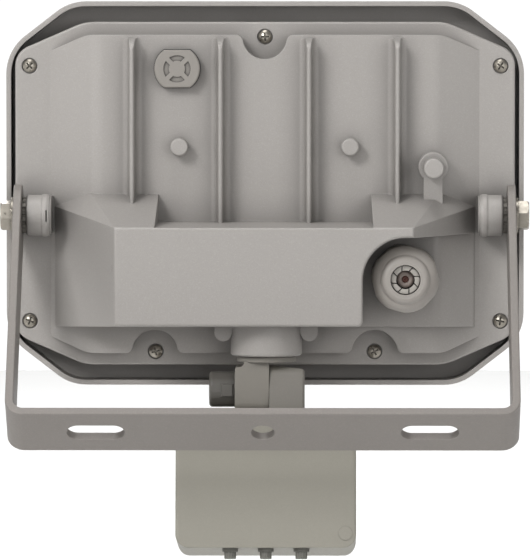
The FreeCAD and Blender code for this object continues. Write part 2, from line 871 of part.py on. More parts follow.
def vent_o_ring():
    """The flat rubber seal under the vent cap, which shows as a thin rim all round it."""
    seat = Vector(vent_x, panel_y, vent_z)
    seal = ring(vent_cap_r + vent_rim, vent_stem_r + SMALL, seat, Y_AXIS, vent_seal_t)
    high = vent_flat + vent_rim
    return seal.common(box(vent_x - 20, vent_x + 20, 0, 20, vent_z - high, vent_z + high))


# ---------------------------------------------------------------- driver inside the box


def driver_board():
    sheet = box(*board_x, board_y, board_y + board_t, *board_z)
    holes = [rod(m3_clear_r, Vector(x, 0, z), Y_AXIS, 20) for x, z in driver_posts]
    return sheet.cut(holes)


def driver_transformer():
    """The flyback transformer: a wound bobbin between two ferrite halves."""
    base_y = board_y + board_t
    core = box(4, 24, base_y + 2, base_y + 15, -36, -20)
    window = box(3, 25, base_y + 5, base_y + 12, -32.5, -23.5)
    leg = box(4, 24, base_y + 5, base_y + 12, -29.5, -26.5)
    core = core.cut(window).fuse(leg).removeSplitter()
    foot = box(5, 23, base_y, base_y + 2, -35, -21)
    return joined([core, foot])


def driver_capacitors():
    """Two electrolytic cans and a film capacitor, standing on the board."""
    base_y = board_y + board_t
    cans = []
    for x, r, h in ((34.0, 5.0, 18.0), (45.5, 4.0, 14.0)):
        can = rod(r, Vector(x, base_y, -24), Y_AXIS, h)
        groove = ring(r + 1, r - 0.35, Vector(x, base_y + 2, -24), Y_AXIS, 0.8)
        can = can.cut(groove)
        cans.append(can.makeFillet(0.5, edges_where(can, lambda p: p.y > base_y + h - 0.1)))
    cans.append(box(-12, -4, base_y, base_y + 11, -35, -22))
    return Part.makeCompound(cans)


def terminal_block():
    """Three screw terminals for the supply lead, beside the gland."""
    base_y = board_y + board_t
    half_pitch = terminal_pitch / 2
    low_z = terminal_low_z - half_pitch
    high_z = low_z + 3 * terminal_pitch
    block = box(terminal_x - 4, terminal_x + 4, base_y, base_y + 10, low_z, high_z)
    for i in range(3):
        z = terminal_low_z + terminal_pitch * i
        block = block.cut(rod(1.3, Vector(terminal_x - 8, base_y + 4, z), X_AXIS, 11))
        block = block.cut(rod(1.6, Vector(terminal_x, base_y + 6.5, z), Y_AXIS, 6))
    return block


def terminal_screws():
    base_y = board_y + board_t
    pins = []
    for i in range(3):
        z = terminal_low_z + terminal_pitch * i
        pin = rod(1.45, Vector(terminal_x, base_y + 6.5, z), Y_AXIS, 2.6)
        slot = box(terminal_x - 3, terminal_x + 3, base_y + 8.5, base_y + 10, z - 0.25, z + 0.25)
        pins.append(pin.cut(slot))
    return Part.makeCompound(pins)


def driver_screws():
    screw = phillips_screw(m3_r - SMALL, 2.6, 1.6, 8.5)
    down = Vector(0, -1, 0)
    return Part.makeCompound(
        [placed(screw, down, Vector(x, board_y, z)) for x, z in driver_posts]
    )


# ---------------------------------------------------------------- cable gland


def at_gland(y):
    return Vector(gland_x, y, gland_z)


def gland_washer():
    start = at_gland(recess_floor_y)
    return ring(gland_washer_r, gland_thread_r + SMALL, start, Y_AXIS, gland_washer_t)


def gland_body():
    hexagon = polygon_rod(6, gland_flange_af, gland_flange_t)
    flange = placed(hexagon, Y_AXIS, at_gland(gland_flange_y), gland_turn_deg)
    inside_y = recess_floor_y - box_wall - 4.2
    stub = rod(gland_thread_r, at_gland(inside_y), Y_AXIS, gland_flange_y - inside_y + 1)
    collar = rod(gland_collar_r, at_gland(gland_flange_y), Y_AXIS, gland_flange_t + 7.5)
    body = joined([flange, stub, collar])
    seat_start = gland_flange_y + 3
    body = body.cut(rod(5.6, at_gland(inside_y - 1), Y_AXIS, 40))
    return body.cut(rod(7.3, at_gland(seat_start), Y_AXIS, 20))


def gland_locknut():
    start = at_gland(recess_floor_y - box_wall - 4.1)
    nut = placed(polygon_rod(6, 20.0, 4.0), Y_AXIS, start, 20)
    return nut.cut(rod(gland_thread_r + SMALL, at_gland(0), Y_AXIS, 20))


def gland_nut():
    """The domed nut: six soft flats below, a round shoulder above, and the mouth."""
    hexagon = polygon_rod(6, gland_nut_af, gland_nut_h)
    blank = placed(hexagon, Y_AXIS, at_gland(gland_nut_y), gland_turn_deg)
    outer_r = gland_nut_corner_r
    face_z = gland_nut_h - gland_face_drop
    axis_foot = Vector(0, 0, 0)
    axis_top = Vector(0, 0, gland_nut_h)
    rim_foot = Vector(outer_r, 0, 0)
    shoulder = Vector(outer_r, 0, gland_shoulder_h)
    bulge_in, bulge_up = gland_shoulder_bulge
    bulge = Vector(outer_r - bulge_in, 0, gland_shoulder_h + bulge_up)
    ledge = Vector(gland_face_r + gland_ledge_w, 0, face_z)
    face_rim = Vector(gland_face_r, 0, face_z + gland_ledge_w)
    dome_in, dome_down = gland_face_bulge
    face_bulge = Vector(gland_face_r - dome_in, 0, gland_nut_h - dome_down)
    crown = Vector(gland_mouth_r + gland_mouth_rim, 0, gland_nut_h)
    edges = [
        Part.LineSegment(axis_foot, rim_foot).toShape(),
        Part.LineSegment(rim_foot, shoulder).toShape(),
        Part.Arc(shoulder, bulge, ledge).toShape(),
        Part.LineSegment(ledge, face_rim).toShape(),
        Part.Arc(face_rim, face_bulge, crown).toShape(),
        Part.LineSegment(crown, axis_top).toShape(),
        Part.LineSegment(axis_top, axis_foot).toShape(),
    ]
    turned_form = Part.Face(Part.Wire(edges)).revolve(axis_foot, Z_AXIS, 360)
    nut = blank.common(placed(turned_form, Y_AXIS, at_gland(gland_nut_y)))
    nut = nut.cut(rod(gland_collar_r + 0.1, at_gland(gland_nut_y - 1), Y_AXIS, 9.4))
    cone = Part.makeCone(9.0, gland_mouth_r, 4.6)
    nut = nut.cut(placed(cone, Y_AXIS, at_gland(gland_nut_y + 8.3)))
    return nut.cut(rod(gland_mouth_r, at_gland(gland_nut_y), Y_AXIS, 30))


def gland_claw():
    """The clamping cage: a ring with eight fingers that lean in towards the mouth."""
    ring_y = gland_flange_y + 8.8
    hoop = ring(7.2, 5.75, at_gland(ring_y), Y_AXIS, 2.6)
    outer = Part.makeCone(7.2, gland_mouth_r - 0.3, 6.6)
    inner = Part.makeCone(5.75, cable_r + 0.2, 6.6)
    cage = placed(outer.cut(inner), Y_AXIS, at_gland(ring_y + 2.6))
    for i in range(8):
        gap = box(0, 10, claw_slant, claw_slant + claw_gap, 0, 10)
        cage = cage.cut(placed(gap, Y_AXIS, at_gland(ring_y + 2.65), 45 * i))
    cage = cage.cut(rod(cable_r + 0.2, at_gland(ring_y), Y_AXIS, 20))
    return joined([hoop, cage])


def gland_seal():
    """The rubber bush that closes on the supply lead."""
    start_y = gland_flange_y + 3.2
    bush = ring(7.0, cable_r, at_gland(start_y), Y_AXIS, 5.4)
    nose = ring(5.5, cable_r, at_gland(start_y + 5.0), Y_AXIS, 3.1)
    return joined([bush, nose])


# ---------------------------------------------------------------- bracket and its bolts


def bracket_to_lamp(shape):
    """Turns a shape drawn with its legs hanging straight down to the bracket's stored angle."""
    moved = shape.copy()
    moved.rotate(Vector(0, 0, 0), X_AXIS, 90 - bracket_droop_deg)
    moved.translate(Vector(0, pivot_y, pivot_z))
    return moved


def bracket():
    half = bracket_half_w
    inner = half - bracket_t
    floor = -bracket_reach
    outline = [(-half, 0), (-half, floor), (half, floor), (half, 0)]
    outline += [(inner, 0), (inner, floor + bracket_t), (-inner, floor + bracket_t), (-inner, 0)]
    bend = bracket_bend_r
    inside = bracket_bend_r - bracket_t
    radii = [0, bend, bend, 0, 0, inside, inside, 0]
    strip = prism(outline, "xz", -bracket_w / 2, bracket_w / 2, radii)
    ends = []
    for side in (-1, 1):
        ends.append(rod(bracket_w / 2, Vector(side * inner, 0, 0), X_AXIS * side, bracket_t))
    body = joined([strip] + ends)
    long_edges = edges_where(body, lambda p: abs(abs(p.y) - bracket_w / 2) < 0.01)
    body = body.makeFillet(0.4, [e for e in long_edges if e.Length > 4])
    body = body.cut(rod(pivot_hole_r, Vector(-100, 0, 0), X_AXIS, 200))
    below = Vector(0, 0, floor - 1)
    body = body.cut(rod(centre_hole_r, below, Z_AXIS, 6))
    half_run = (slot_length - slot_w) / 2
    for side in (-1, 1):
        x = side * slot_offset
        slot = box(x - half_run, x + half_run, -slot_w / 2, slot_w / 2, floor - 1, floor + 5)
        ends = [
            rod(slot_w / 2, below + X_AXIS * (x + end * half_run), Z_AXIS, 6) for end in (-1, 1)
        ]
        body = body.cut(slot.fuse(ends))
    return bracket_to_lamp(body)


def pivot_bolt(side):
    """An M6 hexagon bolt with a chamfered head."""
    outward = X_AXIS * side
    head_x = bracket_half_w + washer_t
    head = polygon_rod(6, m6_af, m6_head_h)
    crown = Part.makeCone(m6_af / 2 + 4.5, m6_af / 2 - 0.35, m6_head_h + 0.25)
    head = head.common(crown)
    at = Vector(side * head_x, pivot_y, pivot_z)
    head = placed(head, outward, at, 20)
    tip = Vector(side * bolt_tip_x, pivot_y, pivot_z)
    shank = rod(m6_r, tip, outward, head_x - bolt_tip_x + 0.5)
    return head.fuse(shank).removeSplitter()


def pivot_washer(side):
    start = Vector(side * (bracket_half_w + SMALL), pivot_y, pivot_z)
    return ring(washer_r, m6_r + 0.1, start, X_AXIS * side, washer_t - SMALL)


def lock_washer(side):
    """A serrated disc between the boss and the bracket's leg."""
    inner_face = bracket_half_w - bracket_t - SMALL
    thickness = inner_face - boss_end_x
    start = Vector(side * boss_end_x, pivot_y, pivot_z)
    disc = ring(lock_washer_r, m6_r + 0.1, start, X_AXIS * side, thickness)
    hub = Vector(side * (boss_end_x - 1), pivot_y, pivot_z)
    pitch_r = lock_washer_r + 0.25
    notches = []
    for i in range(lock_washer_teeth):
        angle = 2 * math.pi * i / lock_washer_teeth
        offset = Vector(0, pitch_r * math.cos(angle), pitch_r * math.sin(angle))
        notches.append(rod(0.75, hub + offset, X_AXIS * side, thickness + 2))
    return disc.cut(notches)


# ---------------------------------------------------------------- swivel stem and hinge


def swivel_stem():
    """A hollow shaft with a lip below the neck and one cheek of the half-lap hinge."""
    lip_top = neck_bottom_z - GAP
    lip_bottom = lip_top - stem_lip_t
    shaft = rod(stem_r, Vector(neck_x, neck_y, lip_bottom), Z_AXIS, stem_top_z - lip_bottom)
    lip = rod(stem_lip_r, Vector(neck_x, neck_y, lip_bottom), Z_AXIS, stem_lip_t)
    low_x = neck_x + stem_cheek[0]
    high_x = neck_x + stem_cheek[1]
    low_z = hinge_z - cheek_half
    shoulder_z = lip_bottom - shoulder_drop
    top_z = lip_bottom + 0.2
    face = [
        (low_x, low_z),
        (high_x, low_z),
        (high_x, shoulder_z),
        (high_x - shoulder_step, shoulder_z),
        (high_x - shoulder_step, top_z),
        (low_x, top_z),
    ]
    front_y = neck_y - cheek_half
    rear_y = neck_y + cheek_half
    cheek = prism(face, "xz", front_y, rear_y, [0, 0, shoulder_tip_r, shoulder_root_r, 0, 0])
    round_r = cheek_round_r
    profile = [(front_y, low_z), (rear_y, low_z), (rear_y, top_z), (front_y, top_z)]
    cheek = cheek.common(prism(profile, "yz", low_x, high_x, [round_r, round_r, 0, 0]))
    body = joined([shaft, lip, cheek])
    groove_low = Vector(neck_x, neck_y, o_ring_z - o_ring_t / 2 - 0.15)
    groove = ring(stem_r + 1, stem_r - o_ring_t - 0.1, groove_low, Z_AXIS, o_ring_t + 0.3)
    body = body.cut(groove)
    body = body.cut(rod(stem_wire_r, Vector(neck_x, neck_y, lip_bottom - 2), Z_AXIS, 40))
    exit_hole = rod(2.6, Vector(neck_x, neck_y, hinge_z + 5), Z_AXIS, 12)
    body = body.cut(exit_hole)
    pin_hole = rod(hinge_bolt_r + SMALL, Vector(-40, neck_y, hinge_z), X_AXIS, 80)
    return body.cut(pin_hole)


def stem_o_ring():
    tube_r = o_ring_t / 2
    return Part.makeTorus(stem_r - SMALL - tube_r, tube_r, Vector(neck_x, neck_y, o_ring_z), Z_AXIS)


def stem_washer():
    start = Vector(neck_x, neck_y, pocket_bottom_z + GAP)
    return ring(stem_nut_r + 0.2, stem_r + 0.1, start, Z_AXIS, 0.8)


def stem_nut():
    """The slotted ring nut that keeps the stem in the neck, inside the driver box."""
    start_z = pocket_bottom_z + GAP + 0.8
    start = Vector(neck_x, neck_y, start_z)
    nut = ring(stem_nut_r, stem_r + SMALL, start, Z_AXIS, stem_top_z - start_z)
    pitch_r = stem_nut_r + 0.4
    notches = []
    for i in range(6):
        angle = math.radians(60 * i)
        offset = Vector(pitch_r * math.cos(angle), pitch_r * math.sin(angle), -1)
        notches.append(rod(1.3, start + offset, Z_AXIS, 10))
    return nut.cut(notches)


def hinge_bolt():
    """The M5 bolt through the half-lap, its head sunk in the sensor's knuckle."""
    head_x = neck_x + ear_cheek[0] + 0.3
    tip_x = neck_x + knob_end - 1.5
    head = rod(4.2, Vector(head_x, neck_y, hinge_z), X_AXIS, 3.0)
    socket = placed(polygon_rod(6, 4.0, 2.2), X_AXIS, Vector(head_x - 0.2, neck_y, hinge_z), 0)
    shank = rod(hinge_bolt_r, Vector(head_x, neck_y, hinge_z), X_AXIS, tip_x - head_x)
    return joined([head, shank]).cut(socket)


def clamp_knob():
    """The ribbed nut that clamps the sensor's hinge, with a raised pad for the thumb."""
    start_x = neck_x + stem_cheek[1] + face_gap
    length = neck_x + knob_end - start_x
    start = Vector(start_x, neck_y, hinge_z)
    barrel = rod(knob_r, start, X_AXIS, length)
    outer = [e for e in barrel.Edges if e.Length > 20 and e.Vertexes[0].X > start_x + 1]
    barrel = barrel.makeFillet(1.4, outer)
    flats = placed(polygon_rod(8, 2 * knob_r - 0.3, length), X_AXIS, start, 30)
    barrel = barrel.common(flats)
    pad = box(start_x + 0.5, start_x + 5.0, neck_y + 4.5, neck_y + 6.9, hinge_z - 2.4, hinge_z + 2.4)
    pad = pad.makeFillet(0.5, edges_where(pad, lambda p: p.y > neck_y + 6.8))
    knob = joined([barrel, pad])
    return knob.cut(rod(hinge_bolt_r + GAP, start - X_AXIS, X_AXIS, length - 0.2))


# ---------------------------------------------------------------- sensor head


def head_to_lamp(shape):
    """Tips a shape drawn about the hinge axis forwards, and hangs it on the hinge."""
    moved = shape.copy()
    moved.rotate(Vector(0, 0, 0), X_AXIS, head_tip_deg)
    moved.translate(Vector(neck_x, neck_y, hinge_z))
    return moved


def head_block(inset):
    """The outside of the whole head, or of its hollow where inset is the wall."""
    top = head_top_z - inset
    bottom = head_bottom_z + inset
    rear = head_rear_y - inset
    front = head_front_y + inset
    profile = [
        (rear, bottom),
        (rear, top),
        (-10 + inset / 2, top),
        (front, top - 9.5),
        (front, bottom + 4),
        (front + 5, bottom),
    ]
    radii = [0, max(2.5 - inset, 0.5), 5, 3, 2, 2]
    half_w = head_half_w - inset
    block = prism(profile, "yz", -half_w, half_w, radii)
    r = head_corner_r - inset
    centre_z = (top + bottom) / 2
    tall = [(x, z + centre_z) for x, z in rectangle(half_w, (top - bottom) / 2)]
    section = prism(tall, "xz", -60, 60, [r] * 4)
    plan = [(half_w, rear), (-half_w, rear), (-half_w, front), (half_w, front)]
    soft = 1.2 if inset == 0 else 0.4
    column = prism(plan, "xy", -90, 20, [soft, soft, 9 - inset, 9 - inset])
    return block.common(section).common(column)


def head_shell():
    return head_block(0).cut(head_block(head_wall))


def sensor_rear_shell():
    """The back half of the head with its hinge knuckle, and holes for the three dials."""
    shell = head_shell().common(box(-60, 60, head_split_y, 60, -90, 30))
    tongue = head_block(head_wall / 2).cut(head_block(head_wall))
    tongue = tongue.common(box(-60, 60, head_split_y - 1.5, head_split_y + 1, -90, 30))
    low_x, high_x = ear_cheek
    half = cheek_half
    profile = [(half, head_top_z - 1), (half, half), (-half, half), (-half, head_top_z - 1)]
    ear = prism(profile, "yz", low_x, high_x, [0, cheek_round_r, cheek_round_r, 0])
    trim = [
        (low_x - 1, half - ear_slope),
        (high_x + 1, half),
        (high_x + 1, half + 9),
        (low_x - 1, half + 9),
    ]
    ear = ear.cut(prism(trim, "xz", -20, 20))
    outer = edges_where(ear, lambda p: p.x < low_x + 0.1 and p.z > head_top_z)
    ear = ear.makeFillet(1.2, outer)
    mark = rod(mark_r, Vector(mark_x, head_rear_y - 0.5, mark_z), Y_AXIS, 0.7)
    posts = []
    holes = []
    for x in (-sensor_post_x, sensor_post_x):
        start_y = sensor_board_y + sensor_board_t + 0.1
        start = Vector(x, start_y, sensor_post_z)
        posts.append(rod(3.0, start, Y_AXIS, head_rear_y - 0.8 - start_y))
        holes.append(rod(1.0, start - Y_AXIS, Y_AXIS, 7))
    shell = joined([shell, tongue, ear, mark] + posts)
    for i in (-1, 0, 1):
        below = Vector(dial_pitch * i, dial_y, head_bottom_z - 3)
        holes.append(rod(dial_r + GAP, below, Z_AXIS, 6))
    holes.append(rod(hinge_hole_r, Vector(-40, 0, 0), X_AXIS, 80))
    holes.append(rod(4.6, Vector(low_x - 1, 0, 0), X_AXIS, 4.6))
    holes.append(rod(2.2, Vector(-5.5, 0.0, head_top_z - 3), Z_AXIS, 8))
    return shell.cut(holes)


def sensor_front_shell():
    """The front half, with the window that the lens bulges through."""
    shell = head_shell().common(box(-60, 60, -60, head_split_y - SMALL, -90, 30))
    rebate = box(-60, 60, head_split_y - 1.6, head_split_y + 1, -90, 30)
    shell = shell.cut(head_block(head_wall / 2 - SMALL).common(rebate))
    half_w = lens_half_w - 1.5
    z0, z1 = lens_z
    mid = (z0 + z1) / 2
    hole = [(x, z + mid) for x, z in rectangle(half_w, (z1 - z0) / 2 - 1.5)]
    return shell.cut(prism(hole, "xz", -60, head_front_y + 3.5, [3] * 4))


def sensor_lens():
    """The curved white lens about the sensing element, with a flat wall closing each end."""
    z0, z1 = lens_z
    mid = (z0 + z1) / 2
    half_w = lens_half_w - lens_border
    half_h = (z1 - z0) / 2 - lens_border
    skin = ring(lens_r, lens_r - lens_t, Vector(0, lens_axis_y, z0), Z_AXIS, z1 - z0)
    reach = math.sqrt(lens_r**2 - lens_half_w**2)
    skin = skin.common(box(-lens_half_w, lens_half_w, -60, lens_axis_y - reach + 2, -90, 30))
    outline = [(x, z + mid) for x, z in rectangle(half_w, half_h)]
    window = prism(outline, "xz", -60, 0, [3] * 4)
    seat_y = head_front_y + head_wall
    inside = box(-60, 60, seat_y + 1.0, 60, -90, 30)
    walls = []
    for low_z in (mid - half_h, mid + half_h - lens_t):
        disc = rod(lens_r, Vector(0, lens_axis_y, low_z), Z_AXIS, lens_t)
        wall = disc.common(box(-half_w, half_w, -60, seat_y, -90, 30))
        walls.append(wall.common(window))
    return joined([skin.common(window.fuse(inside))] + walls)


def sensor_board():
    sheet = box(-27, 27, sensor_board_y, sensor_board_y + sensor_board_t, -55.5, -14.5)
    for x in (-sensor_post_x, sensor_post_x):
        sheet = sheet.cut(rod(1.2, Vector(x, 0, sensor_post_z), Y_AXIS, 9))
    return sheet


def sensor_board_screws():
    screw = phillips_screw(0.95, 1.9, 1.2, 5.5)
    down = Vector(0, -1, 0)
    places = [Vector(x, sensor_board_y, sensor_post_z) for x in (-sensor_post_x, sensor_post_x)]
    return Part.makeCompound([placed(screw, down, place) for place in places])


def pir_element():
    """The round metal can of the heat sensor on its insulating ring."""
    front = Vector(0, -1, 0)
    base = rod(4.7, Vector(0, sensor_board_y, pir_z), front, 1.0)
    can = rod(4.1, Vector(0, sensor_board_y - 0.5, pir_z), front, 4.5)
    can = can.makeFillet(0.5, edges_where(can, lambda p: p.y < sensor_board_y - 4.9))
    face_y = sensor_board_y - 5.0
    window = box(-1.5, 1.5, face_y - 1, face_y + 0.3, pir_z - 1.5, pir_z + 1.5)
    return joined([base, can]).cut(window)


def light_cell():
    """The photocell that keeps the lamp off by day."""
    front = Vector(0, -1, 0)
    cell = rod(2.5, Vector(15, sensor_board_y, -48), front, 2.2)
    return cell.makeFillet(0.4, edges_where(cell, lambda p: p.y < sensor_board_y - 2.1))


def sensor_relay():
    base_y = sensor_board_y + sensor_board_t
    relay = box(-24, -9, base_y, head_rear_y - head_wall - 0.4, -44, -26)
    return relay.makeFillet(0.5, edges_where(relay, lambda p: p.y > sensor_board_y + 7))


def potentiometers():
    """Three trimmer bodies on the sensor board, bored for the dials' shafts."""
    bodies = []
    low_y = sensor_board_y + sensor_board_t
    low_z = head_bottom_z + head_wall + 0.3
    for i in (-1, 0, 1):
        x = dial_pitch * i
        body = box(x - 4.6, x + 4.6, low_y, 11.8, low_z + 1.6, low_z + 7.6)
        socket = rod(dial_shaft_r + GAP, Vector(x, dial_y, low_z), Z_AXIS, 6.6)
        bodies.append(body.cut(socket))
    return Part.makeCompound(bodies)


def dial(i):
    """One dial: a plain collar, a narrower fluted tip with a screwdriver slot, and a shaft."""
    x = dial_pitch * i
    tip_z = head_bottom_z - dial_drop
    length = dial_drop + head_wall + 0.3
    base_z = tip_z + dial_tip_len
    base = rod(dial_r, Vector(x, dial_y, base_z), Z_AXIS, length - dial_tip_len)
    grip = rod(dial_tip_r, Vector(x, dial_y, tip_z), Z_AXIS, dial_tip_len + 0.5)
    rim = edges_where(grip, lambda p: p.z < tip_z + 0.1)
    grip = grip.makeFillet(0.3, [e for e in rim if e.Length > 5])
    pitch_r = dial_tip_r + 0.2
    flutes = []
    for k in range(12):
        angle = math.radians(30 * k)
        at = Vector(x + pitch_r * math.cos(angle), dial_y + pitch_r * math.sin(angle), tip_z - 1)
        flutes.append(rod(0.38, at, Z_AXIS, dial_tip_len + 1))
    slot = box(x - 2.5, x + 2.5, dial_y - 0.4, dial_y + 0.4, tip_z - 1, tip_z + 1.1)
    shaft = rod(dial_shaft_r, Vector(x, dial_y, tip_z + 2), Z_AXIS, length + 2.6)
    return joined([base, grip, shaft]).cut(flutes + [slot])


# ---------------------------------------------------------------- export


def nodes():
    """Every sub-part by name, in the lamp's own position."""
    made = {
        "front_frame": front_frame(),
        "front_glass": front_glass(),
        "glass_gasket": glass_gasket(),
        "reflector": reflector(),
        "led_board": led_board(),
        "led_chips": led_chips(),
        "led_board_screws": plate_screw_set(),
        "mounting_plate": mounting_plate(),
        "rear_housing": rear_housing(),
        "housing_screws": frame_screw_set(),
        "vent_cap": vent_cap(),
        "vent_membrane": vent_membrane(),
        "vent_o_ring": vent_o_ring(),
        "driver_board": driver_board(),
        "driver_transformer": driver_transformer(),
        "driver_capacitors": driver_capacitors(),
        "driver_screws": driver_screws(),
        "terminal_block": terminal_block(),
        "terminal_screws": terminal_screws(),
        "gland_washer": gland_washer(),
        "gland_body": gland_body(),
        "gland_seal": gland_seal(),
        "gland_claw": gland_claw(),
        "gland_nut": gland_nut(),
        "gland_locknut": gland_locknut(),
        "bracket": bracket(),
        "swivel_stem": swivel_stem(),
        "stem_o_ring": stem_o_ring(),
        "stem_washer": stem_washer(),
        "stem_nut": stem_nut(),
        "hinge_bolt": hinge_bolt(),
        "clamp_knob": clamp_knob(),
    }
    for name, side in (("left", 1), ("right", -1)):
        made[f"pivot_bolt_{name}"] = pivot_bolt(side)
        made[f"pivot_washer_{name}"] = pivot_washer(side)
        made[f"lock_washer_{name}"] = lock_washer(side)
    head = {
        "sensor_rear_shell": sensor_rear_shell(),
        "sensor_front_shell": sensor_front_shell(),
        "sensor_lens": sensor_lens(),
        "sensor_board": sensor_board(),
        "sensor_board_screws": sensor_board_screws(),
        "pir_element": pir_element(),
        "light_cell": light_cell(),
        "sensor_relay": sensor_relay(),
        "potentiometers": potentiometers(),
        "time_dial": dial(1),
        "dusk_dial": dial(0),
        "range_dial": dial(-1),
    }
    for name, shape in head.items():
        made[name] = head_to_lamp(shape)
    return made


def origin_point():
    """The centre of the bracket's middle hole, on the face that meets the wall."""
    droop = math.radians(bracket_droop_deg)
    return Vector(
        0,
        pivot_y + bracket_reach * math.cos(droop),
        pivot_z - bracket_reach * math.sin(droop),
    )


def main():
    os.makedirs("parts", exist_ok=True)
    shift = origin_point() * -1
    for name, shape in nodes().items():
        shape.translate(shift)
        shape.exportStep(f"parts/{name}.step")
        solids = len(shape.Solids)
        print(f"{name}: {solids} solids, {shape.Volume / 1000:.2f} cm3, valid {shape.isValid()}")


main()
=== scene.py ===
import json
import math

import bmesh
import bpy
from mathutils import Matrix, Vector


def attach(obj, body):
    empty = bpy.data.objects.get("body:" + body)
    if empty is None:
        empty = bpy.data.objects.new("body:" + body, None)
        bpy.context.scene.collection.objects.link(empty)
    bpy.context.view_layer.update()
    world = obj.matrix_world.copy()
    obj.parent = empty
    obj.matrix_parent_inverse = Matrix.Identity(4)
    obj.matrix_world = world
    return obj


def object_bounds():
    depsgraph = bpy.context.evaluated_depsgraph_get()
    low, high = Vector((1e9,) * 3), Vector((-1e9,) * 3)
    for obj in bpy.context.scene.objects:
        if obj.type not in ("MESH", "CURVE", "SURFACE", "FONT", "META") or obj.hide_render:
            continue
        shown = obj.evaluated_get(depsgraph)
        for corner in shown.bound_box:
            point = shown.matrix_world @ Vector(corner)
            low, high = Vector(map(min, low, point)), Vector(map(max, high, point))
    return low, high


# Looks for an outdoor LED floodlight with a motion sensor, seen from behind. Metres, in the CAD's frame.

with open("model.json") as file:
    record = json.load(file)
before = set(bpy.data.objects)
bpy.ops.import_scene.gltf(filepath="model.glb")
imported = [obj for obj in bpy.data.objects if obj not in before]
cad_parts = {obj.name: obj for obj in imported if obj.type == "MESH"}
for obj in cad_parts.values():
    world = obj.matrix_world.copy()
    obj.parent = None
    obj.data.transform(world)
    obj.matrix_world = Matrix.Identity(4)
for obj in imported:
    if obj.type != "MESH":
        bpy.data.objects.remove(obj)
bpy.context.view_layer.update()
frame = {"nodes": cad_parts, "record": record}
scene = bpy.context.scene

# One small lens in the sensor's window.
LENS_CELL_W = 0.0072
LENS_CELL_H = 0.0086

# The powder coat on the two castings and, darker, on the bracket.
COAT = (0.345, 0.326, 0.308)
BRACKET_COAT = (0.225, 0.206, 0.19)

# Two faces closer than this lie in one plane.
FLAT = 0.0002

# A phosphor pad's radius and bulge, as shares of its LED's narrower side and of that radius.
PAD_SHARE = 0.42
PAD_BULGE = 0.2

# The middle of the cable gland's mouth.
GLAND_MOUTH = Vector((-0.0517, -0.0478, 0.05266))

FLOOR_RADIUS = 7.0
FLOOR_DROP = 0.4
WASH_DISTANCE = 5.0
WASH_HEIGHT = 3.5
WASH_SIZE = 4.0

# The camera stands behind the lamp, turned by CAMERA_TURN and looking down by CAMERA_DOWN, in degrees.
CAMERA_AIM = Vector((0.0, -0.0748146, 0.0509446))
CAMERA_TURN = 0.6
CAMERA_DOWN = 3.0
CAMERA_DISTANCE = 2.2
SEEN_HEIGHT = 0.2078
SENSOR_HEIGHT = 36.0


# ---------------------------------------------------------------- materials


class Paint:
    """A material's node tree with a Principled shader, and short ways to add nodes to it."""

    def __init__(self, name):
        self.material = bpy.data.materials.new(name)
        self.material.use_nodes = True
        self.tree = self.material.node_tree
        self.tree.nodes.clear()
        self.shader = self.add("ShaderNodeBsdfPrincipled")
        output = self.add("ShaderNodeOutputMaterial")
        self.tree.links.new(self.shader.outputs["BSDF"], output.inputs["Surface"])
        self.place = self.add("ShaderNodeTexCoord").outputs["Object"]
        self.normal = None

    def add(self, kind, inputs=None, **settings):
        node = self.tree.nodes.new(kind)
        for key, value in settings.items():
            setattr(node, key, value)
        for key, value in (inputs or {}).items():
            self.put(node.inputs[key], value)
        return node

    def put(self, socket, value):
        if isinstance(value, bpy.types.NodeSocket):
            self.tree.links.new(value, socket)
        elif value is not None:
            socket.default_value = value

    def set(self, **values):
        for key, value in values.items():
            self.put(self.shader.inputs[key.replace("_", " ")], value)

    def noise(self, scale, detail=2.0, rough=0.5, at=None):
        inputs = {"Vector": at or self.place, "Scale": scale, "Detail": detail, "Roughness": rough}
        return self.add("ShaderNodeTexNoise", inputs).outputs["Fac"]

    def stretched(self, factors):
        """The place, stretched by a factor along each axis."""
        return self.add("ShaderNodeMapping", {"Vector": self.place, "Scale": factors}).outputs[0]

    def cells(self, scale):
        """A random number in each small cell."""
        node = self.add("ShaderNodeTexVoronoi", {"Vector": self.place, "Scale": scale})
        return self.add("ShaderNodeSeparateColor", {"Color": node.outputs["Color"]}).outputs[0]

    def span(self, value, low, high, to_low, to_high):
        inputs = {"Value": value, "From Min": low, "From Max": high, "To Min": to_low, "To Max": to_high}
        return self.add("ShaderNodeMapRange", inputs).outputs["Result"]

    def math(self, operation, a, b=0.0):
        node = self.add("ShaderNodeMath", operation=operation)
        self.put(node.inputs[0], a)
        self.put(node.inputs[1], b)
        return node.outputs[0]

    def mix(self, factor, a, b, blend="MIX"):
        node = self.add("ShaderNodeMix", data_type="RGBA", blend_type=blend)
        self.put(node.inputs[0], factor)
        self.put(node.inputs[6], colour(a))
        self.put(node.inputs[7], colour(b))
        return node.outputs[2]

    def bump(self, height, depth, strength=1.0):
        inputs = {"Height": height, "Distance": depth, "Strength": strength, "Normal": self.normal}
        self.normal = self.add("ShaderNodeBump", inputs).outputs["Normal"]

    def edges(self, radius):
        """Rounds the edges in the shading, and returns how strongly each point is on an edge."""
        soft = self.add("ShaderNodeBevel", {"Radius": radius}, samples=6).outputs["Normal"]
        self.normal = soft
        flat = self.add("ShaderNodeNewGeometry").outputs["Normal"]
        dot = self.add("ShaderNodeVectorMath", operation="DOT_PRODUCT")
        self.put(dot.inputs[0], soft)
        self.put(dot.inputs[1], flat)
        return self.span(dot.outputs["Value"], 1.0, 0.8, 0.0, 1.0)

    def crevice(self, distance):
        """1 in the open, towards 0 deep in a corner."""
        return self.add("ShaderNodeAmbientOcclusion", {"Distance": distance}, samples=6).outputs["AO"]

    def done(self):
        if self.normal:
            self.put(self.shader.inputs["Normal"], self.normal)
        return self.material


def colour(value):
    if isinstance(value, tuple) and len(value) == 3:
        return (*value, 1.0)
    return value


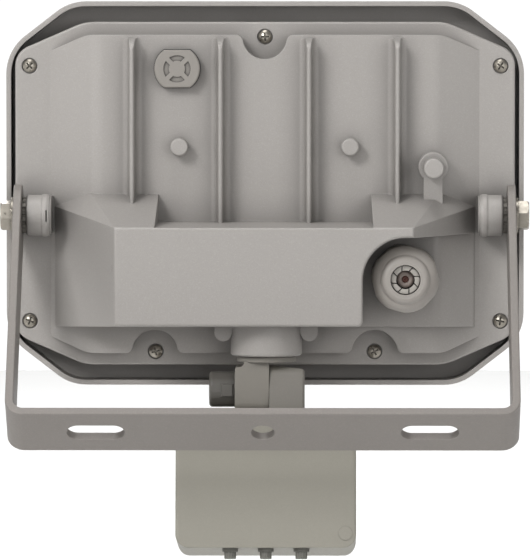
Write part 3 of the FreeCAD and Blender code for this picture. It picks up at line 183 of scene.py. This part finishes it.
def shade(base, factor):
    return tuple(channel * factor for channel in base)


def moulded(
    name,
    base,
    rough=0.5,
    metallic=0.0,
    edge_r=0.0004,
    edge_highlight=1.15,
    corner_shade=0.75,
    corner_shade_reach=0.004,
    fleck=0.0,
    fleck_scale=1900,
    grain=0.00004,
    grain_scale=2200,
    patch=0.06,
    specular=0.5,
    upper=None,
):
    """Paint or plastic: uneven colour, grain, painted highlights along the edges, painted shade in the
    corners and, in paint, fine flecks.

    upper is a second colour and the height above which it takes over.
    """
    paint = Paint(name)
    edge = paint.edges(edge_r)
    cloud = paint.noise(45, 4, 0.6)
    tone = paint.mix(cloud, shade(base, 1 - patch), shade(base, 1 + patch))
    fine = paint.noise(900, 3, 0.6)
    tone = paint.mix(paint.span(fine, 0.35, 0.65, 0.0, 1.0), shade(base, 0.97), tone)
    if upper:
        height = paint.add("ShaderNodeSeparateXYZ", {"Vector": paint.place}).outputs["Z"]
        upper_base, start = upper
        above = paint.span(height, start, start + 0.0015, 0.0, 1.0)
        upper_tone = paint.mix(cloud, shade(upper_base, 1 - patch), shade(upper_base, 1 + patch))
        tone = paint.mix(above, tone, upper_tone)
    if fleck:
        cell = paint.cells(fleck_scale)
        bright = paint.span(cell, 0.8, 1.0, 0.0, fleck)
        tone = paint.mix(bright, tone, shade(base, 1.8))
        dark = paint.span(cell, 0.0, 0.22, fleck * 0.8, 0.0)
        tone = paint.mix(dark, tone, shade(base, 0.5))
    # Painted highlight: the colour lightens along the edges.
    tone = paint.mix(paint.math("MULTIPLY", edge, 0.8), tone, shade(base, edge_highlight))
    # Painted shade: the colour darkens in corners, creases and recesses, where shade falls.
    open_air = paint.span(paint.crevice(corner_shade_reach), 0.35, 0.95, 0.0, 1.0)
    tone = paint.mix(open_air, shade(base, corner_shade), tone)
    paint.set(Base_Color=tone, Metallic=metallic, Specular_IOR_Level=specular)
    paint.set(Roughness=paint.span(fine, 0.3, 0.7, rough - 0.06, rough + 0.08))
    paint.bump(paint.noise(grain_scale, 2, 0.6), grain)
    return paint.done()


def metal(name, base, rough=0.3, edge_r=0.0002, streak=(1, 1, 1), grain=0.00001, metal_corner_shade=0.6, wear=1.0):
    """Plated or rolled metal: streaks, faint tarnish, painted highlights along the edges and painted
    shade in the corners.

    wear scales the tarnish and the streaks, and the corner factor sets how dark the painted shade in the
    corners is.
    """
    paint = Paint(name)
    edge = paint.edges(edge_r)
    lines = paint.noise(500, 3, 0.6, paint.stretched(streak))
    stain = paint.noise(260, 4, 0.65)
    tone = paint.mix(paint.span(stain, 0.35, 0.7, 0.0, 1.0), shade(base, 1 - 0.2 * wear), base)
    # Painted highlight: the colour lightens along the edges.
    tone = paint.mix(paint.math("MULTIPLY", edge, 0.6), tone, shade(base, 1.2))
    # Painted shade: the colour darkens in corners and crevices, where shade falls.
    open_air = paint.span(paint.crevice(0.0015), 0.3, 0.9, 0.0, 1.0)
    tone = paint.mix(open_air, shade(base, metal_corner_shade), tone)
    paint.set(Base_Color=tone, Metallic=1.0)
    paint.set(Roughness=paint.span(lines, 0.3, 0.7, rough - 0.08 * wear, rough + 0.12 * wear))
    paint.bump(lines, grain)
    return paint.done()


def clear_glass(name):
    paint = Paint(name)
    paint.edges(0.0004)
    haze = paint.noise(140, 4, 0.65)
    dust = paint.span(paint.cells(1500), 0.96, 1.0, 0.0, 0.3)
    film = paint.span(haze, 0.4, 0.8, 0.03, 0.12)
    tone = paint.mix(paint.math("ADD", dust, film), (0.93, 0.98, 0.96), (0.7, 0.7, 0.68))
    paint.set(Base_Color=tone, Roughness=film)
    paint.set(Transmission_Weight=0.95, IOR=1.5, Coat_Weight=0.2)
    return paint.done()


def milky_lens(name):
    """Milky polythene, pressed on its inside into rows of small ringed lenses."""
    paint = Paint(name)
    paint.edges(0.0001)
    cloud = paint.noise(200, 3, 0.5)
    tone = paint.mix(cloud, (0.78, 0.79, 0.77), (0.88, 0.88, 0.86))
    paint.set(Roughness=paint.span(cloud, 0.3, 0.7, 0.28, 0.42))
    paint.set(Subsurface_Weight=0.3, Subsurface_Scale=0.003, Transmission_Weight=0.12)
    axes = paint.add("ShaderNodeSeparateXYZ", {"Vector": paint.place})
    across = paint.math("FRACT", paint.math("MULTIPLY", axes.outputs["X"], 1 / LENS_CELL_W))
    upright = paint.math("FRACT", paint.math("MULTIPLY", axes.outputs["Z"], 1 / LENS_CELL_H))
    centred = [paint.math("SUBTRACT", value, 0.5) for value in (across, upright)]
    spot = paint.add("ShaderNodeCombineXYZ", {"X": centred[0], "Y": centred[1]}).outputs[0]
    reach = paint.add("ShaderNodeVectorMath", {0: spot}, operation="LENGTH").outputs["Value"]
    rings = paint.math("FRACT", paint.math("MULTIPLY", reach, 9.0))
    sides = [paint.math("ABSOLUTE", value) for value in centred]
    seam = paint.span(paint.math("MAXIMUM", sides[0], sides[1]), 0.45, 0.5, 0.0, 1.0)
    paint.set(Base_Color=paint.mix(paint.math("MULTIPLY", seam, 0.35), tone, (0.6, 0.61, 0.6)))
    paint.bump(rings, 0.00005, 0.6)
    paint.bump(seam, 0.0001, 0.8)
    return paint.done()


def circuit(name, mask, copper, scale):
    """Solder mask over copper tracks that show through as a lighter, raised maze."""
    paint = Paint(name)
    paint.edges(0.00015)
    grid = paint.add("ShaderNodeTexBrick", {"Vector": paint.place, "Scale": scale, "Mortar Size": 0.06})
    track = grid.outputs["Fac"]
    blotch = paint.noise(300, 3, 0.6)
    tone = paint.mix(track, mask, copper)
    tone = paint.mix(paint.span(blotch, 0.4, 0.7, 0.0, 0.25), tone, shade(mask, 0.8))
    paint.set(Base_Color=tone, Roughness=paint.span(blotch, 0.3, 0.7, 0.3, 0.45))
    paint.bump(track, 0.00004)
    return paint.done()


def woven(name, base):
    paint = Paint(name)
    weave = paint.add("ShaderNodeTexVoronoi", {"Vector": paint.place, "Scale": 4000.0})
    tone = paint.mix(weave.outputs["Distance"], base, shade(base, 0.7))
    paint.set(Base_Color=tone, Roughness=0.9)
    paint.bump(weave.outputs["Distance"], 0.00003)
    return paint.done()


# Each moulded and metal finish below carries painted highlights along its edges and painted shade in its
# corners.
made = {
    "painted_casting": moulded(
        "casting_powder_coat", COAT, 0.5, 0.2, 0.0006, 1.25, 0.6, 0.012, 0.1, 3200, patch=0.04
    ),
    "painted_bracket": moulded(
        "bracket_powder_coat", BRACKET_COAT, 0.5, 0.2, 0.0004, 1.5, 0.7, 0.01, 0.12, 3200
    ),
    "window_glass": clear_glass("toughened_glass"),
    "gasket_rubber": moulded("black_silicone", (0.02, 0.02, 0.02), 0.65, edge_highlight=1.6, patch=0.2),
    "reflector_sheet": metal(
        "bright_reflector", (0.86, 0.86, 0.87), 0.3, edge_r=0.0003, grain=0.000004, metal_corner_shade=0.75, wear=0.2
    ),
    "led_board_white": circuit("white_led_board", (0.8, 0.8, 0.78), (0.7, 0.7, 0.66), 90.0),
    "led_phosphor": moulded("led_package", (0.82, 0.8, 0.7), 0.35, patch=0.1, edge_r=0.0001),
    "aluminium_sheet": metal("mill_aluminium", (0.62, 0.62, 0.63), 0.38, 0.0003, (1, 1, 9), 0.00002),
    "plated_steel": metal("nickel_plate", (0.4, 0.37, 0.32), 0.32, 0.00025, (1, 1, 1), 0.00001, 0.18),
    "vent_plastic": moulded(
        "vent_nylon", (0.255, 0.237, 0.215), 0.55, edge_highlight=1.25, corner_shade=0.3, corner_shade_reach=0.002
    ),
    "vent_fabric": woven("vent_film", (0.06, 0.06, 0.06)),
    "circuit_board": circuit("green_board", (0.02, 0.14, 0.06), (0.05, 0.26, 0.12), 120.0),
    "ferrite": moulded("ferrite_core", (0.05, 0.05, 0.055), 0.6, patch=0.25, grain=0.0001),
    "capacitor_sleeve": moulded("shrink_sleeve", (0.02, 0.03, 0.06), 0.3, patch=0.15),
    "terminal_plastic": moulded("terminal_green", (0.05, 0.22, 0.1), 0.45, patch=0.1),
    "gland_plastic": moulded(
        "gland_nylon", (0.33, 0.305, 0.28), 0.42, edge_highlight=1.25, corner_shade=0.4, corner_shade_reach=0.003
    ),
    "claw_plastic": moulded(
        "claw_nylon", (0.42, 0.395, 0.36), 0.4, edge_highlight=1.1, corner_shade=0.5, corner_shade_reach=0.0012
    ),
    "stem_plastic": moulded(
        "stem_nylon", (0.215, 0.2, 0.175), 0.5, edge_highlight=1.25, corner_shade=0.5, corner_shade_reach=0.003
    ),
    "nut_plastic": moulded("ring_nut_nylon", (0.05, 0.05, 0.05), 0.5, patch=0.15),
    "knob_plastic": moulded(
        "knob_nylon", (0.1, 0.094, 0.084), 0.42, edge_highlight=1.4, corner_shade=0.6, corner_shade_reach=0.003
    ),
    "head_plastic": moulded(
        "head_abs",
        (0.25, 0.237, 0.2),
        0.5,
        edge_r=0.0005,
        corner_shade=0.65,
        corner_shade_reach=0.01,
        fleck=0.05,
        fleck_scale=3400,
        grain=0.00003,
        # The head turns to the darker colour above 3 mm up in its own frame.
        upper=((0.19, 0.177, 0.157), 0.003),
    ),
    "lens_plastic": milky_lens("lens_polythene"),
    "sensor_can": metal("sensor_can_plate", (0.72, 0.68, 0.55), 0.25),
    "cell_resin": moulded("photocell_resin", (0.5, 0.22, 0.08), 0.2, patch=0.15),
    "relay_case": moulded("relay_blue", (0.03, 0.1, 0.32), 0.35, patch=0.1),
    "trimmer_case": moulded("trimmer_blue", (0.03, 0.1, 0.25), 0.4, patch=0.1),
    "dial_plastic": moulded(
        "dial_nylon", (0.13, 0.127, 0.11), 0.45, edge_highlight=1.4, corner_shade=0.5, corner_shade_reach=0.002
    ),
}
# The lock washers get a darker copy of the plated steel: painted shade for the gap between bracket leg
# and boss where they sit.
shaded_washer_steel = metal("washer_steel_painted_shade", (0.16, 0.15, 0.135), 0.4)
for part in frame["record"]["subparts"]:
    node = part["node"]
    slots = frame["nodes"][node].data.materials
    slots.clear()
    slots.append(shaded_washer_steel if node.startswith("lock_washer") else made[part["material_slot"]])


# ---------------------------------------------------------------- detail pieces


def piece(name, mesh, body, slot, material=None):
    mesh.materials.clear()
    mesh.materials.append(material or made[slot])
    obj = bpy.data.objects.new(name, mesh)
    scene.collection.objects.link(obj)
    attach(obj, body)
    return obj


def turned(name, points, centre, body, slot, material=None, segments=32):
    """A closed turned piece about an upright line, from (radius, height) points, facing along +Y."""
    bm = bmesh.new()
    rings = []
    for radius, height in points:
        ring = []
        for i in range(segments):
            turn = 2 * math.pi * i / segments
            ring.append(bm.verts.new((radius * math.cos(turn), height, radius * math.sin(turn))))
        rings.append(ring)
    for lower, upper in zip(rings, rings[1:] + rings[:1]):
        for i in range(segments):
            j = (i + 1) % segments
            bm.faces.new((lower[i], lower[j], upper[j], upper[i]))
    bmesh.ops.recalc_face_normals(bm, faces=bm.faces)
    mesh = bpy.data.meshes.new(name)
    bm.to_mesh(mesh)
    bm.free()
    mesh.transform(Matrix.Translation(centre))
    mesh.shade_smooth()
    return piece(name, mesh, body, slot, material)


def phosphor_pads():
    """A round dab of phosphor resin on the face of each LED, all in one mesh."""
    chips = frame["nodes"]["led_chips"].data
    front_y = min(v.co.y for v in chips.vertices)
    bm = bmesh.new()
    seen = set()
    for face in chips.polygons:
        if face.normal.y > -0.9 or abs(face.center.y - front_y) > FLAT:
            continue
        corners = [chips.vertices[i].co for i in face.vertices]
        key = (round(max(c.x for c in corners), 4), round(max(c.z for c in corners), 4))
        if key in seen:
            continue
        seen.add(key)
        left, right = min(c.x for c in corners), max(c.x for c in corners)
        foot, top = min(c.z for c in corners), max(c.z for c in corners)
        radius = PAD_SHARE * min(right - left, top - foot)
        middle = ((left + right) / 2, front_y, (foot + top) / 2)
        place = Matrix.Translation(middle) @ Matrix.Diagonal((1.0, PAD_BULGE, 1.0, 1.0))
        bmesh.ops.create_icosphere(bm, subdivisions=2, radius=radius, matrix=place)
    mesh = bpy.data.meshes.new("phosphor_pads")
    bm.to_mesh(mesh)
    bm.free()
    mesh.shade_smooth()
    phosphor = moulded("phosphor_resin", (0.78, 0.55, 0.06), 0.3, edge_r=0.00005, patch=0.12)
    piece("phosphor_pads", mesh, "lamp", "led_phosphor", phosphor)


phosphor_pads()

# The torn dust film across the mouth of the cable gland, and a dark disc in its hole: painted shadow for
# the dark inside the hole.
film = moulded("dust_film", (0.34, 0.28, 0.25), 0.5, edge_r=0.0001, patch=0.15)
shadow_plug = moulded("gland_hole_painted_shadow", (0.09, 0.025, 0.015), 0.5, edge_r=0.0001, patch=0.3)
ring = [(0.0013, 0.0), (0.0031, 0.0), (0.0031, 0.0004), (0.0013, 0.0004)]
core = [(0.0001, 0.0), (0.00128, 0.0), (0.00128, 0.0002), (0.0001, 0.0002)]
turned("gland_dust_film", ring, GLAND_MOUTH, "lamp", "gasket_rubber", film)
turned("gland_hole_shadow_disc", core, GLAND_MOUTH, "lamp", "gasket_rubber", shadow_plug)

# ---------------------------------------------------------------- stage, light and camera

low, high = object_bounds()
floor_z = low[2] - FLOOR_DROP
floor_mesh = bpy.data.meshes.new("floor")
bm = bmesh.new()
bmesh.ops.create_circle(bm, cap_ends=True, segments=96, radius=FLOOR_RADIUS)
bm.to_mesh(floor_mesh)
bm.free()
pale = Paint("pale_floor")
drift = pale.noise(3, 3, 0.5)
pale.set(Base_Color=pale.mix(drift, (0.77, 0.77, 0.765), (0.8, 0.8, 0.795)), Roughness=0.85)
floor_mesh.materials.append(pale.done())
floor = bpy.data.objects.new("floor", floor_mesh)
floor.location = (0, 0, floor_z)
scene.collection.objects.link(floor)

world = bpy.data.worlds.new("soft_sky")
world.use_nodes = True
sky = world.node_tree
facing = sky.nodes.new("ShaderNodeTexCoord").outputs["Generated"]
rise = sky.nodes.new("ShaderNodeSeparateXYZ")
sky.links.new(facing, rise.inputs[0])
band = sky.nodes.new("ShaderNodeMapRange")
band.interpolation_type = "SMOOTHSTEP"
sky.links.new(rise.outputs["Z"], band.inputs["Value"])
for socket, value in zip(("From Min", "From Max", "To Min", "To Max"), (0.05, 0.35, 1.06, 0.3)):
    band.inputs[socket].default_value = value
sky.links.new(band.outputs["Result"], sky.nodes["Background"].inputs["Strength"])
sky.nodes["Background"].inputs["Color"].default_value = (1.0, 1.0, 1.0, 1.0)
scene.world = world
scene.view_settings.view_transform = "Standard"


def soft_light(name, place, target, size, watts, spread=180.0):
    data = bpy.data.lights.new(name, "AREA")
    data.shape = "DISK"
    data.size = size
    data.energy = watts
    data.spread = math.radians(spread)
    light = bpy.data.objects.new(name, data)
    light.location = place
    light.rotation_euler = (Vector(target) - Vector(place)).to_track_quat("-Z", "Y").to_euler()
    scene.collection.objects.link(light)


middle = (Vector(low) + Vector(high)) / 2
soft_light("key", middle + Vector((0.95, 1.4, 1.0)), middle, 0.7, 23.0)
soft_light("fill", middle + Vector((-0.9, 1.5, 0.3)), middle, 0.9, 4.0)
soft_light("top", middle + Vector((0.1, 0.2, 1.5)), middle, 0.9, 8.0)
soft_light("back", middle + Vector((0.3, -1.5, 0.8)), middle, 1.0, 8.0)


def wash(name, x, y, watts, spread=180.0):
    """Lights the floor far off from straight above. A narrow spread doesn't reach the lamp."""
    soft_light(name, (x, y, WASH_HEIGHT), (x, y, floor_z), WASH_SIZE, watts, spread)


wash("floor_wash", 0.0, -WASH_DISTANCE, 230.0)
wash("wash_left", -WASH_DISTANCE, 0.0, 75.0, 85.0)
wash("wash_right", WASH_DISTANCE, 0.0, 75.0, 85.0)
wash("wash_front", 0.0, WASH_DISTANCE, 75.0, 85.0)

side = math.radians(CAMERA_TURN)
down = math.radians(CAMERA_DOWN)
forward = Vector((math.sin(side), -math.cos(side), -math.tan(down)))
camera_data = bpy.data.cameras.new("camera")
camera_data.sensor_fit = "VERTICAL"
camera_data.sensor_height = SENSOR_HEIGHT
camera_data.lens = SENSOR_HEIGHT * CAMERA_DISTANCE / SEEN_HEIGHT
camera_data.clip_end = 60.0
camera = bpy.data.objects.new("camera", camera_data)
camera.location = CAMERA_AIM - forward.normalized() * CAMERA_DISTANCE
camera.rotation_euler = forward.to_track_quat("-Z", "Y").to_euler()
scene.collection.objects.link(camera)
scene.camera = camera
